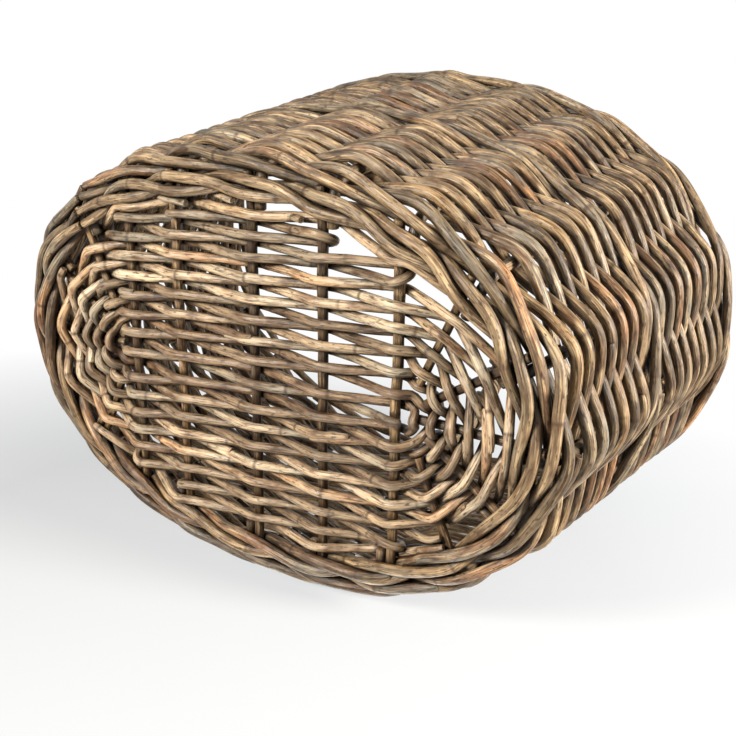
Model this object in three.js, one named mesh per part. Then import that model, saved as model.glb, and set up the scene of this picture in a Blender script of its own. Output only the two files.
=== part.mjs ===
// Rattan shopping basket: an oval basket of round rods, woven over and under real sticks and stakes.
// Millimetres, +Z up, the base's underside at z = 0 and the long axis along X.
import * as THREE from 'three';

const { abs, acos, atan, atan2, cos, floor, max, min, PI, pow, sign, sin, sqrt, tan } = Math;

// Overall size, over the outer rods
const BASE_LENGTH = 406;
const BASE_WIDTH = 279;
const RIM_LENGTH = 463;
const RIM_WIDTH = 343;
const BODY_HEIGHT = 275;
const OVAL_POWER = 2.15;

// Rods
const CROSS_STICK_DIAMETER = 7.2;
const END_STICK_DIAMETER = 5.6;
const STAKE_DIAMETER = 6.4;
const BASE_ROD_DIAMETER = 5.6;
const WALL_ROD_DIAMETER = 6.4;
const WALE_ROD_DIAMETER = 6.6;
const ROD_SIDES = 5;
const STICK_SIDES = 6;
const CLEARANCE = 0.44;

// Base: the spine, the sticks that cross it and the rows round it
const CROSS_STICKS = 5;
const ODD_STICK_INDEX = 3;
const ODD_STICK_SHARE = 0.2;
const END_STICKS = 5;
const END_STICK_FAN = 32 * PI / 180;
const SPINE_RODS = 2;
const SPINE_OVERHANG = 5;
const SPINE_END_SHARE = 0.75;
const SPINE_DEPTH_SHARE = 0.9;
const BASE_ROW_PITCH = 6.4;
const END_ROW_PITCH = 6.1;
const BASE_ROWS = 10;
const LAST_ROW_TO_BEND = 8.9;
const END_STICKS_FROM_ROW = 3.75;
const STICK_TUCK = 0.3;
const STAKE_TAIL = 27;
const STICK_STUB = 3.5;

// The packing rod's rows, each from one post to another, in posts from the oval's end
const PACKING_TURNS = [[8, 2], [2, 7], [7, 3], [3, 6], [6, 4], [4, 5]];
const TURN_STEPS = 4;

// Where the stakes turn up into the wall
const FOOT_BEND = 16;
const BEND_STEPS = 4;
const FOOT_WALE_AT = 1.3;
const FOOT_WALE_EASE = 0.7;
const UPSET_WALE_AT = 20.6;
const UPSET_WALE_TO_WALL = 10.4;
const WALE_PITCH = 8;
const WALE_RODS = 3;
const WALE_SEAM_INDEX = 12;
const WALE_BUTT = 1.2;

// A wale rod's places at three posts in turn: its side of the stake, and its height in pitches.
// Then its depth and height half way to each next post.
const WALE_PASSES = [[-1, 0], [1, 0.5], [1, -0.5]];
const WALE_MIDDLES = [[0, 0.5], [1, 0], [0, -0.5]];

// Wall
const WALL_ROW_PITCH = 7.6;
const MIDDLE_WALE_HEIGHT = 126;
const WEAVER_TIP = 4;

// Border: each stake is bent over and passes four posts, falling as it goes
const BORDER_FIRST_DROP = 12;
const BORDER_EASE = 1;
const BORDER_LAST_DROP = 8;
const BORDER_BEND = 5;
const BORDER_TIP = 9;

// Handle
const HANDLE_DIAMETER = 11;
const HANDLE_RISE = 150;
const HANDLE_SIDES = 8;
const HANDLE_STEPS = 18;
const WRAP_DIAMETER = 4.4;
const WRAP_SIDES = 5;
const WRAP_TURNS = 13;
const WRAP_STEPS = 8;
const WRAP_START = 0.13;

// Steps and limits of the searches below
const NEARLY = 1e-6;
const LEVEL_STEP = 0.25;
const LEVEL_MARGIN = 1;
const HOOP_STEP = 0.01;

const SPINE_HALF = SPINE_RODS * BASE_ROW_PITCH / 2;
const HALF_POSTS = CROSS_STICKS + END_STICKS;
const POSTS = 2 * HALF_POSTS;
const FAN_POSTS = (END_STICKS + 1) / 2;

const CROSS_R = CROSS_STICK_DIAMETER / 2;
const END_R = END_STICK_DIAMETER / 2;
const STAKE_R = STAKE_DIAMETER / 2;
const BASE_ROD_R = BASE_ROD_DIAMETER / 2;
const WALL_ROD_R = WALL_ROD_DIAMETER / 2;
const WALE_R = WALE_ROD_DIAMETER / 2;
const HANDLE_R = HANDLE_DIAMETER / 2;
const WRAP_R = WRAP_DIAMETER / 2;

// The stakes stand this far inside the outer face of the wall
const SKIN = STAKE_R + 2 * WALL_ROD_R + CLEARANCE;
const WALE_REACH = max(CROSS_R, STAKE_R) + WALE_R + CLEARANCE;
const BASE_MID = WALE_REACH + WALE_R * cos(PI / ROD_SIDES);
const STAKE_TOP = BODY_HEIGHT - STAKE_R;
const DOWN = new THREE.Vector3(0, 0, -1);

const foot = { a: BASE_LENGTH / 2 - SKIN, b: BASE_WIDTH / 2 - SKIN };
const rim = { a: RIM_LENGTH / 2 - SKIN, b: RIM_WIDTH / 2 - SKIN };

// The cross sticks leave room at the oval's ends for the rows that go round the spine
const END_LEAN = atan2(rim.a - foot.a, STAKE_TOP - BASE_MID);
const END_BEND = foot.a - FOOT_BEND * tan((PI / 2 - END_LEAN) / 2);
const END_ROWS = SPINE_HALF + END_ROW_PITCH * (BASE_ROWS - 0.5);
const CROSS_END = END_BEND - LAST_ROW_TO_BEND - END_ROWS - SPINE_OVERHANG;
const CROSS_STICK_SPACING = 2 * CROSS_END / (CROSS_STICKS - 1);

function flat(x, y) {
  return new THREE.Vector3(x, y, 0);
}

function along(point, direction, distance) {
  return point.clone().addScaledVector(direction, distance);
}

// How far out a point lies in the oval, 1 on its edge
function ovalRatio(point, { a, b }) {
  return pow(abs(point.x) / a, OVAL_POWER) + pow(abs(point.y) / b, OVAL_POWER);
}

// Where a line from inside the oval meets its edge
function meetOval(start, direction, oval) {
  let near = 0;
  let far = BASE_LENGTH;
  while (far - near > NEARLY) {
    const middle = (near + far) / 2;
    if (ovalRatio(along(start, direction, middle), oval) < 1) near = middle;
    else far = middle;
  }
  return along(start, direction, near);
}

function ovalNormal(point, { a, b }) {
  const x = sign(point.x) * pow(abs(point.x) / a, OVAL_POWER - 1) / a;
  const y = sign(point.y) * pow(abs(point.y) / b, OVAL_POWER - 1) / b;
  return flat(x, y).normalize();
}

// The cross sticks stand evenly, but for one that was laid a little aside
function crossStickX(number) {
  const aside = number === ODD_STICK_INDEX ? ODD_STICK_SHARE : 0;
  return CROSS_END - (number + aside) * CROSS_STICK_SPACING;
}

// A post is a place round the basket: a stick end in the base and the stake that stands beside it.
// The second half of the posts is the first half turned half way round.
function makePost(index) {
  const half = floor(index / HALF_POSTS);
  const place = index % HALF_POSTS;
  const turn = half === 0 ? 1 : -1;
  const cross = place >= FAN_POSTS && place < FAN_POSTS + CROSS_STICKS;
  const fan = place < FAN_POSTS ? place * END_STICK_FAN : PI - (HALF_POSTS - place) * END_STICK_FAN;
  const fanX = sign(cos(fan)) * (CROSS_END + SPINE_OVERHANG);
  const crossNumber = half === 0 ? place - FAN_POSTS : CROSS_STICKS - 1 - place + FAN_POSTS;
  const post = { index, half, place, cross, stickR: cross ? CROSS_R : END_R };
  post.rowPoint = (row) => {
    const across = SPINE_HALF + BASE_ROW_PITCH * (row - 0.5);
    if (cross) return flat(crossStickX(crossNumber), across * turn);
    const lengthwise = SPINE_HALF + END_ROW_PITCH * (row - 0.5);
    return flat(fanX + lengthwise * cos(fan), across * sin(fan)).multiplyScalar(turn);
  };
  const out = post.rowPoint(2).sub(post.rowPoint(1)).normalize();
  const round = flat(-out.y, out.x);
  const tailOffset = post.stickR + STAKE_R + CLEARANCE;
  const corner = meetOval(along(post.rowPoint(1), round, tailOffset), out, foot);
  const top = new THREE.Vector3(corner.x * rim.a / foot.a, corner.y * rim.b / foot.b, STAKE_TOP);
  corner.z = BASE_MID;
  const up = top.clone().sub(corner).normalize();
  const face = ovalNormal(corner, foot);
  face.addScaledVector(up, -face.dot(up)).normalize();
  const turnUp = acos(out.dot(up));
  const lead = FOOT_BEND * tan(turnUp / 2);
  const rise = up.clone().addScaledVector(out, -up.dot(out)).normalize();
  const start = along(corner, out, -lead);
  const centre = along(start, rise, FOOT_BEND);
  const arc = FOOT_BEND * turnUp;
  const wallRound = up.clone().cross(face);
  const spokeAt = (angle) => rise.clone().multiplyScalar(-cos(angle)).addScaledVector(out, sin(angle));
  const twist = face.clone().sub(spokeAt(turnUp));
  post.stakeAt = (s) => {
    if (s <= 0) return { point: along(start, out, s), face: DOWN.clone(), round: round.clone() };
    if (s >= arc) return { point: along(corner, up, lead + s - arc), face: face.clone(), round: wallRound };
    const angle = s / FOOT_BEND;
    const spoke = spokeAt(angle);
    return {
      point: along(centre, spoke, FOOT_BEND),
      face: spoke.clone().addScaledVector(twist, angle / turnUp).normalize(),
      round: round.clone().lerp(wallRound, angle / turnUp).normalize(),
    };
  };
  post.atHeight = (z) => arc - lead + (z - BASE_MID) / up.z;
  post.stickEnd = along(meetOval(post.rowPoint(1), out, foot), out, STICK_STUB - lead).setZ(BASE_MID);
  Object.assign(post, { out, round, tailOffset, start, arc, up });
  return post;
}

const posts = [];
for (let index = 0; index < POSTS; index += 1) posts.push(makePost(index));
const postAt = (index) => posts[((index % POSTS) + POSTS) % POSTS];

// The handle's legs stand beside the middle stakes, on the side that the stakes' tops bend away from
const LEG_OFFSET = -(STAKE_R + HANDLE_R + CLEARANCE);
const LEG_PLACE = FAN_POSTS + (CROSS_STICKS - 1) / 2;
const WALE_HALF = WALE_PITCH / 2 + WALE_R + CLEARANCE;
const LEG_BOTTOM = MIDDLE_WALE_HEIGHT + WALE_HALF;

// A route is a rod's centre line, with the way its outer side faces at each point
function newRoute() {
  const route = { points: [], faces: [] };
  route.add = (point, face) => {
    route.points.push(point);
    route.faces.push(face);
    return route;
  };
  return route;
}

// A rod along a route: a ring of sides at each point, mitred at the bends
function rodGeometry({ points, faces }, radius, sides) {
  const positions = [];
  const triangles = [];
  const last = points.length - 1;
  points.forEach((point, i) => {
    const before = point.clone().sub(points[max(i - 1, 0)]).normalize();
    const after = points[min(i + 1, last)].clone().sub(point).normalize();
    if (i === 0) before.copy(after);
    if (i === last) after.copy(before);
    const ahead = before.clone().add(after).normalize();
    const bend = after.clone().sub(before);
    const stretch = bend.length() > NEARLY ? 1 / ahead.dot(after) - 1 : 0;
    bend.normalize();
    // The section stays square to the face along the flatter of the two stretches that meet here
    const flatter = abs(before.dot(faces[i])) < abs(after.dot(faces[i])) ? before : after;
    const first = faces[i].clone().addScaledVector(flatter, -faces[i].dot(flatter)).normalize();
    first.applyQuaternion(new THREE.Quaternion().setFromUnitVectors(flatter, ahead));
    const second = ahead.clone().cross(first);
    for (let k = 0; k < sides; k += 1) {
      const angle = 2 * PI * (k + 0.5) / sides;
      const spoke = first.clone().multiplyScalar(radius * cos(angle));
      spoke.addScaledVector(second, radius * sin(angle));
      spoke.addScaledVector(bend, stretch * spoke.dot(bend));
      positions.push(...spoke.add(point).toArray());
    }
  });
  for (let i = 0; i < last; i += 1) {
    for (let k = 0; k < sides; k += 1) {
      const here = i * sides + k;
      const beside = i * sides + (k + 1) % sides;
      triangles.push(here, beside, beside + sides, here, beside + sides, here + sides);
    }
  }
  for (let k = 1; k < sides - 1; k += 1) {
    triangles.push(0, k + 1, k);
    triangles.push(last * sides, last * sides + k, last * sides + k + 1);
  }
  const geometry = new THREE.BufferGeometry();
  geometry.setAttribute('position', new THREE.Float32BufferAttribute(positions, 3));
  geometry.setIndex(triangles);
  geometry.computeVertexNormals();
  return geometry;
}

const basket = new THREE.Group();
basket.name = 'rattan_shopping_basket';

const TINTS = ['#9c8460', '#8a6f4c', '#8f8873', '#a58a5c', '#776049', '#948a6c'];

function addRod(name, route, radius, sides = ROD_SIDES) {
  const color = TINTS[basket.children.length % TINTS.length];
  const material = new THREE.MeshStandardMaterial({ color, roughness: 0.62, metalness: 0 });
  const mesh = new THREE.Mesh(rodGeometry(route, radius, sides), material);
  mesh.name = name;
  basket.add(mesh);
}

// Half the length that a rod runs level over a post, so that it clears it on its way down between posts
function levelHalf(gap, reach, need) {
  let half = 0;
  while (half < gap / 2 - LEVEL_MARGIN) {
    const slope = atan(2 * reach / (gap - 2 * half));
    if (half * sin(slope) + reach * cos(slope) >= need) break;
    half += LEVEL_STEP;
  }
  return half;
}

// How far past the stick's middle a base row still has something to pass: near the edge, the stake's tail
function baseWidth(post, row) {
  const fromBend = post.rowPoint(row).sub(post.start).dot(post.out);
  return fromBend > -STAKE_TAIL - BASE_ROD_R - CLEARANCE ? post.tailOffset : 0;
}

// The places over a post where a base row turns, in the order that it comes to them
function baseTurns(post, row, way) {
  const width = baseWidth(post, row);
  const gaps = [-1, 0].map((step) => {
    const left = postAt(post.index + step);
    const right = postAt(post.index + step + 1);
    return left.rowPoint(row).distanceTo(right.rowPoint(row)) - baseWidth(left, row);
  });
  const need = max(post.stickR, width > 0 ? STAKE_R : 0) + BASE_ROD_R;
  const reach = need + CLEARANCE;
  const level = levelHalf(min(...gaps), reach, need + CLEARANCE / 3);
  const offsets = level > 0 || width > 0 ? [-level, width + level] : [0];
  if (way < 0) offsets.reverse();
  return { offsets, reach, far: way > 0 ? width : 0 };
}

function basePoint(post, row, offset, depth) {
  const point = along(post.rowPoint(row), post.round, offset);
  point.z = BASE_MID - depth;
  return point;
}

const evenSide = (index) => (index % 2 === 0 ? 1 : -1);

// Two weavers chase each other round the spine, over one and under one, each from its own end of the oval
function baseWeaver(half) {
  const route = newRoute();
  for (let step = 0; step <= (BASE_ROWS - 1) * HALF_POSTS + 1; step += 1) {
    const post = postAt(half * HALF_POSTS + step);
    const row = 1 + step / HALF_POSTS;
    if (!post.cross && row < END_STICKS_FROM_ROW) {
      route.add(basePoint(post, row, 0, 0), DOWN);
      continue;
    }
    const side = evenSide(post.index + half);
    const { offsets, reach } = baseTurns(post, row, 1);
    offsets.forEach((offset) => route.add(basePoint(post, row, offset, side * reach), DOWN));
  }
  return route;
}

// One rod goes back and forth outside the weavers and fills out the oval's long side
function packingRod(half) {
  const route = newRoute();
  PACKING_TURNS.forEach(([from, to], span) => {
    const way = sign(to - from);
    for (let place = from; place !== to + way; place += way) {
      const post = postAt(place + half * HALF_POSTS);
      const row = BASE_ROWS + place / HALF_POSTS + span;
      const side = evenSide(place + span + 1 + half);
      const turn = baseTurns(post, row, way);
      const starts = place === from && span > 0;
      const ends = place === to && span < PACKING_TURNS.length - 1;
      const turns = turn.offsets.slice(starts ? 1 : 0, ends ? -1 : undefined);
      turns.forEach((offset) => route.add(basePoint(post, row, offset, side * turn.reach), DOWN));
      if (!ends) continue;
      for (let step = 0; step <= TURN_STEPS; step += 1) {
        const angle = PI * step / TURN_STEPS;
        const offset = turn.far + way * turn.reach * sin(angle);
        const depth = side * turn.reach * cos(angle);
        route.add(basePoint(post, row + step / TURN_STEPS, offset, depth), DOWN);
      }
    }
  });
  return route;
}

// A point beside a stake: s along it, depth outside it, offset round the basket from it
function wallPoint(post, s, depth, offset = 0) {
  const { point, face, round } = post.stakeAt(s);
  point.addScaledVector(face, depth).addScaledVector(round, offset);
  return { point, face };
}

// How far from a stake a rod turns, so that it clears the stake on its way to the posts on both sides
function wallReach(post, s, side, radius) {
  const near = STAKE_R + radius;
  const here = wallPoint(post, s, side * (near + CLEARANCE));
  const slopes = [-1, 1].map((step) => {
    const there = wallPoint(postAt(post.index + step), s, -side * near);
    return -side * there.point.sub(here.point).normalize().dot(here.face);
  });
  const slope = max(...slopes, 0);
  return near / sqrt(1 - slope * slope) + CLEARANCE;
}

function hasLeg(post, s) {
  return post.place === LEG_PLACE && s > post.atHeight(LEG_BOTTOM - WALL_ROD_DIAMETER);
}

function addWallTurn(route, post, s, side, radius) {
  const reach = wallReach(post, s, side, radius);
  if (hasLeg(post, s)) {
    const legReach = HANDLE_R + radius + 2 * CLEARANCE;
    const leg = wallPoint(post, s, side * legReach, LEG_OFFSET - radius / 2);
    route.add(leg.point, leg.face);
  }
  const turn = wallPoint(post, s, side * reach);
  route.add(turn.point, turn.face);
}

// A weaver's end lies a little way past the stake that it starts or stops at
function addTip(route, post, s, side, offset) {
  const tip = wallPoint(post, s, side * wallReach(post, s, side, WALL_ROD_R), offset);
  route.add(tip.point, tip.face);
}

// A panel of the wall has two weavers as well, one half turn apart
function wallWeaver(half, firstAt, rows) {
  const route = newRoute();
  const steps = (rows - 1) * HALF_POSTS;
  for (let step = 0; step <= steps; step += 1) {
    const post = postAt(half * HALF_POSTS + step);
    const s = firstAt(post) + WALL_ROW_PITCH * step / HALF_POSTS;
    const side = evenSide(post.index + half);
    if (step === 0) addTip(route, post, s, side, -WEAVER_TIP);
    addWallTurn(route, post, s, side, WALL_ROD_R);
    if (step === steps) addTip(route, post, s, side, WEAVER_TIP);
  }
  return route;
}

// A wale's rod runs behind one stake and in front of two, and ends against the next rod's start
function waleRod(number, at, offsetsAt, reachAt) {
  const route = newRoute();
  const phase = (step) => (step - number + WALE_RODS) % WALE_RODS;
  for (let step = 0; step <= POSTS; step += 1) {
    const post = postAt(WALE_SEAM_INDEX + step);
    const next = postAt(WALE_SEAM_INDEX + step + 1);
    const [side, lift] = WALE_PASSES[phase(step)];
    const s = at(post) + lift * WALE_PITCH;
    const offsets = offsetsAt(post);
    const middle = (offsets[0] + offsets[offsets.length - 1]) / 2;
    if (step === 0) offsets[0] = middle + WALE_BUTT;
    if (step === POSTS) offsets[offsets.length - 1] = middle - WALE_BUTT;
    offsets.forEach((offset) => {
      const turn = wallPoint(post, s, side * reachAt(post, s, side), offset);
      route.add(turn.point, turn.face);
    });
    if (step === POSTS) break;
    const [depth, rise] = WALE_MIDDLES[phase(step)];
    const here = wallPoint(post, at(post) + rise * WALE_PITCH, depth * (WALE_REACH - CLEARANCE / 2));
    const there = wallPoint(next, at(next) + rise * WALE_PITCH, depth * (WALE_REACH - CLEARANCE / 2));
    route.add(here.point.lerp(there.point, 0.5), here.face.lerp(there.face, 0.5).normalize());
  }
  return route;
}

// A side stake: its tail beside the stick, the bend, the wall, and its top woven into the border
function stake(post) {
  const route = newRoute();
  const stops = [-STAKE_TAIL];
  for (let step = 0; step <= BEND_STEPS; step += 1) stops.push(post.arc * step / BEND_STEPS);
  stops.push(post.atHeight(STAKE_TOP) - BORDER_BEND);
  stops.forEach((s) => {
    const { point, face } = post.stakeAt(s);
    route.add(point, face);
  });
  const over = wallPoint(post, post.atHeight(STAKE_TOP), 0, BORDER_BEND);
  route.add(over.point, over.face);
  let height = STAKE_TOP - BORDER_FIRST_DROP;
  const passes = [[-1, 0], [1, BORDER_EASE], [1, BORDER_LAST_DROP], [-1, 0]];
  passes.forEach(([side, drop], k) => {
    const next = postAt(post.index + k + 1);
    height -= drop;
    const s = next.atHeight(height);
    addWallTurn(route, next, s, side, STAKE_R);
    if (k < passes.length - 1) return;
    const tip = wallPoint(next, s, side * wallReach(next, s, side, STAKE_R), BORDER_TIP);
    route.add(tip.point, tip.face);
  });
  return route;
}

function straightRod(from, to) {
  return newRoute().add(from, DOWN).add(to, DOWN);
}

// Base sticks
posts.filter((post) => post.half === 0 && post.cross).forEach((post, number) => {
  const other = post.stickEnd.clone().setY(-post.stickEnd.y);
  addRod(`cross_stick_${number + 1}`, straightRod(other, post.stickEnd), CROSS_R, STICK_SIDES);
});
posts.filter((post) => !post.cross).forEach((post, number) => {
  const firstWoven = 1 + (post.index % HALF_POSTS) / HALF_POSTS;
  let row = firstWoven;
  while (row < END_STICKS_FROM_ROW) row += 1;
  const inner = post.rowPoint(row - STICK_TUCK);
  inner.z = BASE_MID;
  addRod(`end_stick_${number + 1}`, straightRod(inner, post.stickEnd), END_R, STICK_SIDES);
});

// The two long rods of the spine are woven through the cross sticks
for (let number = 0; number < SPINE_RODS; number += 1) {
  const route = newRoute();
  const side = number === 0 ? 1 : -1;
  const y = side * BASE_ROW_PITCH / 2;
  const reach = CROSS_R + BASE_ROD_R + CLEARANCE;
  const endX = CROSS_END + SPINE_OVERHANG * SPINE_END_SHARE;
  const endDepth = side * reach * SPINE_DEPTH_SHARE;
  route.add(new THREE.Vector3(endX, y, BASE_MID - endDepth), DOWN);
  posts.filter((post) => post.half === 0 && post.cross).forEach((post, k) => {
    const depth = side * evenSide(k) * reach;
    route.add(new THREE.Vector3(post.rowPoint(1).x, y, BASE_MID - depth), DOWN);
  });
  route.add(new THREE.Vector3(-endX, y, BASE_MID - endDepth), DOWN);
  addRod(`long_rod_${number + 1}`, route, BASE_ROD_R);
}

addRod('base_weaver_1', baseWeaver(0), BASE_ROD_R);
addRod('base_weaver_2', baseWeaver(1), BASE_ROD_R);
addRod('packing_rod_1', packingRod(0), BASE_ROD_R);
addRod('packing_rod_2', packingRod(1), BASE_ROD_R);

// Two rounds of wale: one binds the sticks and the stakes at the foot, the other sets the stakes upright
const footAt = () => FOOT_WALE_AT;
const footOffsets = (post) => [-post.tailOffset - FOOT_WALE_EASE, FOOT_WALE_EASE];
for (let number = 0; number < WALE_RODS; number += 1) {
  const route = waleRod(number, footAt, footOffsets, () => WALE_REACH);
  addRod(`foot_wale_rod_${number + 1}`, route, WALE_R);
}
const waleReach = (post, s, side) => wallReach(post, s, side, WALE_R);
for (let number = 0; number < WALE_RODS; number += 1) {
  const route = waleRod(number, () => UPSET_WALE_AT, () => [0], waleReach);
  addRod(`upset_wale_rod_${number + 1}`, route, WALE_R);
}

const lowerAt = () => UPSET_WALE_AT + UPSET_WALE_TO_WALL;
const middleAt = (post) => post.atHeight(MIDDLE_WALE_HEIGHT);
const panelRows = (bottom, top) => floor((top - bottom) / WALL_ROW_PITCH) + 1;
const lowerTop = min(...posts.map((post) => middleAt(post))) - WALE_HALF - WALL_ROD_R;
const lowerRows = panelRows(lowerAt(), lowerTop);
addRod('lower_weaver_1', wallWeaver(0, lowerAt, lowerRows), WALL_ROD_R);
addRod('lower_weaver_2', wallWeaver(1, lowerAt, lowerRows), WALL_ROD_R);

for (let number = 0; number < WALE_RODS; number += 1) {
  const route = waleRod(number, middleAt, () => [0], waleReach);
  addRod(`middle_wale_rod_${number + 1}`, route, WALE_R);
}

const BORDER_DROP = BORDER_FIRST_DROP + BORDER_EASE + BORDER_LAST_DROP + STAKE_R + CLEARANCE;
const upperAt = (post) => middleAt(post) + WALE_HALF + WALL_ROD_R;
const upperTop = (post) => post.atHeight(STAKE_TOP - BORDER_DROP) - WALL_ROD_R;
const upperRows = min(...posts.map((post) => panelRows(upperAt(post), upperTop(post))));
addRod('upper_weaver_1', wallWeaver(0, upperAt, upperRows), WALL_ROD_R);
addRod('upper_weaver_2', wallWeaver(1, upperAt, upperRows), WALL_ROD_R);

posts.forEach((post, number) => {
  addRod(`stake_${String(number + 1).padStart(2, '0')}`, stake(post), STAKE_R);
});

// Handle: legs pushed down beside the middle stakes, and a hoop from one to the other
const legs = posts.filter((post) => post.place === LEG_PLACE).map((post) => ({
  bottom: wallPoint(post, post.atHeight(LEG_BOTTOM), 0, LEG_OFFSET).point,
  top: wallPoint(post, post.atHeight(BODY_HEIGHT), 0, LEG_OFFSET).point,
}));

// The hoop's centre line at a share of the way over it
function hoopPoint(share) {
  const [near, far] = legs;
  const angle = PI * share;
  const point = near.top.clone().lerp(far.top, (1 - cos(angle)) / 2);
  point.z += HANDLE_RISE * sin(angle);
  return point;
}

const HOOP_SIDE = flat(1, 0);
const hoop = newRoute();
hoop.add(legs[0].bottom, HOOP_SIDE);
for (let step = 0; step <= HANDLE_STEPS; step += 1) hoop.add(hoopPoint(step / HANDLE_STEPS), HOOP_SIDE);
hoop.add(legs[1].bottom, HOOP_SIDE);
addRod('handle_hoop', hoop, HANDLE_R, HANDLE_SIDES);

// A thinner rod is wound round the hoop
const wrap = newRoute();
const wrapReach = (HANDLE_R + WRAP_R + CLEARANCE) / cos(PI / WRAP_STEPS);
for (let step = 0; step <= WRAP_TURNS * WRAP_STEPS; step += 1) {
  const share = WRAP_START + (1 - 2 * WRAP_START) * step / (WRAP_TURNS * WRAP_STEPS);
  const here = hoopPoint(share);
  const ahead = hoopPoint(share + HOOP_STEP).sub(hoopPoint(share - HOOP_STEP)).normalize();
  const across = ahead.clone().cross(HOOP_SIDE).normalize();
  const side = across.clone().cross(ahead);
  const angle = 2 * PI * step / WRAP_STEPS;
  const spoke = across.multiplyScalar(cos(angle)).addScaledVector(side, sin(angle));
  wrap.add(along(here, spoke, wrapReach), spoke);
}
addRod('handle_wrap', wrap, WRAP_R, WRAP_SIDES);

// The winding's least gap to itself, from each point to those about a turn or more away
function leastGap({ points }, radius) {
  let nearest = BASE_LENGTH;
  points.forEach((point, i) => {
    points.slice(i + WRAP_STEPS - 1).forEach((other) => {
      nearest = min(nearest, point.distanceTo(other));
    });
  });
  return nearest - 2 * radius;
}
console.log(`handle_wrap: least gap to itself ${leastGap(wrap, WRAP_R).toFixed(1)} mm`);

export default basket;
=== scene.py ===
# %% [markdown]
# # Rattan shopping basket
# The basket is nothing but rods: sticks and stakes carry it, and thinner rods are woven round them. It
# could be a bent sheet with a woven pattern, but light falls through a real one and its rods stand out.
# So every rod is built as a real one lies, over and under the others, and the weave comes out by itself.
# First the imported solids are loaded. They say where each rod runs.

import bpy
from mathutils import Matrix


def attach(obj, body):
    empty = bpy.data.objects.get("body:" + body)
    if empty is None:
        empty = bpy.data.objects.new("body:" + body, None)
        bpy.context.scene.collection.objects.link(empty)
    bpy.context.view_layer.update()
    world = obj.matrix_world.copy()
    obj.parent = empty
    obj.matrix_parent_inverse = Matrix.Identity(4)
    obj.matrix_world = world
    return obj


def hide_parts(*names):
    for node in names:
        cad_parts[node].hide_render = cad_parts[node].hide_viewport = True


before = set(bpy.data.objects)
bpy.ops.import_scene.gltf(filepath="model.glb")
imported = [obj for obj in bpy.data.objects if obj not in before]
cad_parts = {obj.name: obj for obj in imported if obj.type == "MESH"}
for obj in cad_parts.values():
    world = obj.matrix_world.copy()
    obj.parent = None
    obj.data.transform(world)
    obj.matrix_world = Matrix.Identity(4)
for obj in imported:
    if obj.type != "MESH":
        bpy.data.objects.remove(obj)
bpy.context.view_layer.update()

# %% Helpers from Python and Blender
from math import acos, atan, atan2, ceil, copysign, cos, pi, radians, sin, sqrt, tan
from types import SimpleNamespace

import bpy
import numpy as np
from mathutils import Matrix, Vector

MM = 0.001
random = np.random.default_rng(11)
print("Blender", bpy.app.version_string)

# %% [markdown]
# ## Sizes
# A basket maker starts with a few sizes: the two ovals, the height and how thick the rods are. Each rod
# could be placed by hand, but then one change would move a hundred others. So their places are worked
# out from the sizes. Lengths are in metres, and R is a radius.

# %% The two ovals, the height and the rods
BASE_LENGTH = 411 * MM
BASE_WIDTH = 281 * MM
RIM_LENGTH = 463 * MM
RIM_WIDTH = 341 * MM
BODY_HEIGHT = 275 * MM
OVAL_POWER = 2.15  # 2 would be an ellipse, and more is fuller
CROSS_R = 3.1 * MM
END_R = 2.7 * MM
STAKE_R = 3.2 * MM
BASE_ROD_R = 2.8 * MM
WALL_ROD_R = 3.2 * MM
WALE_R = 3.3 * MM
CLEARANCE = 0.44 * MM
FULLNESS, WALE_FULLNESS = 1.05, 1.03  # how much thicker the rods are drawn than they are laid out
print("rim:", RIM_LENGTH / MM, "by", RIM_WIDTH / MM, "mm")

# %% The base: its sticks, its rows and the bend into the wall
CROSS_STICKS = 5
ODD_STICK = 3  # this one stands aside, by a share of the spacing
ODD_STICK_SHARE = 0.2
END_STICKS = 5
END_STICK_FAN = radians(32)
END_STICK_FROM_ROW = [1, 2.75, 3.75]  # the row it starts at, from the fan's middle outwards
STICK_STUB = 10.5 * MM
SPINE_RODS = 2
SPINE_OVERHANG = 5 * MM
BASE_ROWS = 11
BASE_ROW_PITCH = 6.4 * MM
END_ROW_PITCH = 5.75 * MM
LAST_ROW_TO_BEND = 8.9 * MM
FOOT_BEND = 16 * MM
print("base rows:", BASE_ROWS, "every", BASE_ROW_PITCH / MM, "mm")

# %% What follows from the sizes
SOLID_SIDES = 5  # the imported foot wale's rods have five sides and lie on a flat one
HALF_POSTS = CROSS_STICKS + END_STICKS
POSTS = 2 * HALF_POSTS
FAN_POSTS = (END_STICKS + 1) // 2
SKIN = STAKE_R + 2 * WALL_ROD_R + CLEARANCE
WALE_REACH = max(CROSS_R, STAKE_R) + WALE_R + CLEARANCE
BASE_MID = WALE_REACH + WALE_R * cos(pi / SOLID_SIDES)
STAKE_TOP = BODY_HEIGHT - STAKE_R
DOWN = Vector((0, 0, -1))
FOOT = SimpleNamespace(a=BASE_LENGTH / 2 - SKIN, b=BASE_WIDTH / 2 - SKIN)
RIM = SimpleNamespace(a=RIM_LENGTH / 2 - SKIN, b=RIM_WIDTH / 2 - SKIN)
END_LEAN = atan2(RIM.a - FOOT.a, STAKE_TOP - BASE_MID)
END_BEND = FOOT.a - FOOT_BEND * tan((pi / 2 - END_LEAN) / 2)
SPINE_HALF = SPINE_RODS * BASE_ROW_PITCH / 2
END_ROWS = SPINE_HALF + END_ROW_PITCH * (BASE_ROWS - 0.5)
CROSS_END = END_BEND - LAST_ROW_TO_BEND - END_ROWS - SPINE_OVERHANG
CROSS_STICK_SPACING = 2 * CROSS_END / (CROSS_STICKS - 1)
print("posts:", POSTS, "base middle at", round(BASE_MID / MM, 2), "mm")

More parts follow.
